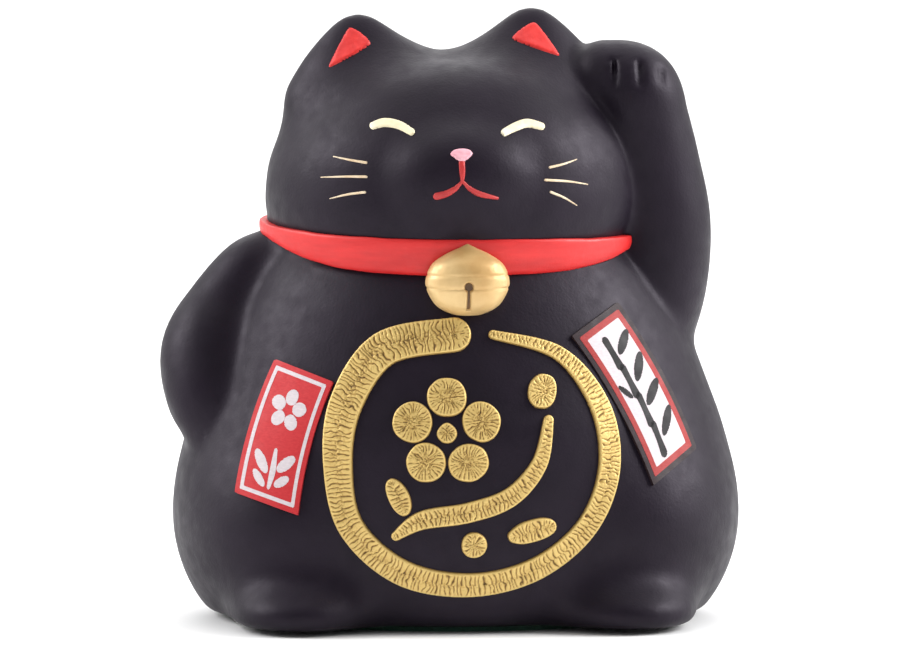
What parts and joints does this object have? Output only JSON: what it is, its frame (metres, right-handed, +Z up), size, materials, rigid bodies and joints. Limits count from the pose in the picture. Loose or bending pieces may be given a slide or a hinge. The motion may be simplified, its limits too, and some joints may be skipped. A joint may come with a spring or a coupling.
{
  "type": "beckoning cat figurine",
  "caption": "Seated ceramic cat coin bank with one paw raised, a red collar and bell, a gold brush ring with a plum blossom sprig, and a card on each flank.",
  "frame": {"origin": "on the surface it stands on, below the middle of the body", "axes": "+Z up, the cat faces -Y, +X on the right of someone facing it"},
  "size_m": [0.1524, 0.1228, 0.1605],
  "materials": {
    "black_ceramic": "matte",
    "stopper_rubber": "matte",
    "green_felt": "matte",
    "red_enamel": "satin",
    "bell_gold": "satin",
    "dark_enamel": "matte",
    "cream_enamel": "satin",
    "pink_enamel": "satin",
    "mouth_enamel": "satin",
    "gold_relief": "satin",
    "red_card": "matte",
    "white_print": "matte",
    "black_card": "matte",
    "red_print": "matte",
    "black_ink": "matte"
  },
  "bodies": {
    "figurine": {"ceramic_shell": "black_ceramic", "base_felt": "green_felt", "collar_band": "red_enamel", "bell": "bell_gold", "bell_slot": "dark_enamel", "ear_lining_left": "red_enamel", "ear_lining_right": "red_enamel", "eye_left": "cream_enamel", "eye_right": "cream_enamel", "nose": "pink_enamel", "mouth": "mouth_enamel", "whisker_left_1": "cream_enamel", "whisker_left_2": "cream_enamel", "whisker_left_3": "cream_enamel", "whisker_right_1": "cream_enamel", "whisker_right_2": "cream_enamel", "whisker_right_3": "cream_enamel", "ring_stroke": "gold_relief", "sprig_petal_1": "gold_relief", "sprig_petal_2": "gold_relief", "sprig_petal_3": "gold_relief", "sprig_petal_4": "gold_relief", "sprig_petal_5": "gold_relief", "sprig_heart": "gold_relief", "sprig_branch": "gold_relief", "sprig_leaf_1": "gold_relief", "sprig_leaf_2": "gold_relief", "sprig_bud_1": "gold_relief", "sprig_bud_2": "gold_relief", "card_left_board": "red_card", "card_left_frame": "white_print", "card_left_blossom": "white_print", "card_left_leaves": "white_print", "card_right_board": "black_card", "card_right_border": "red_print", "card_right_panel": "white_print", "card_right_stem": "black_ink", "card_right_leaves": "black_ink"},
    "stopper": {"base_stopper": "stopper_rubber"}
  },
  "joints": [
    {"name": "stopper_pull", "type": "slide", "parent": "figurine", "child": "stopper", "axis": [0, 0, -1], "range_m": [0, 0.06]}
  ]
}
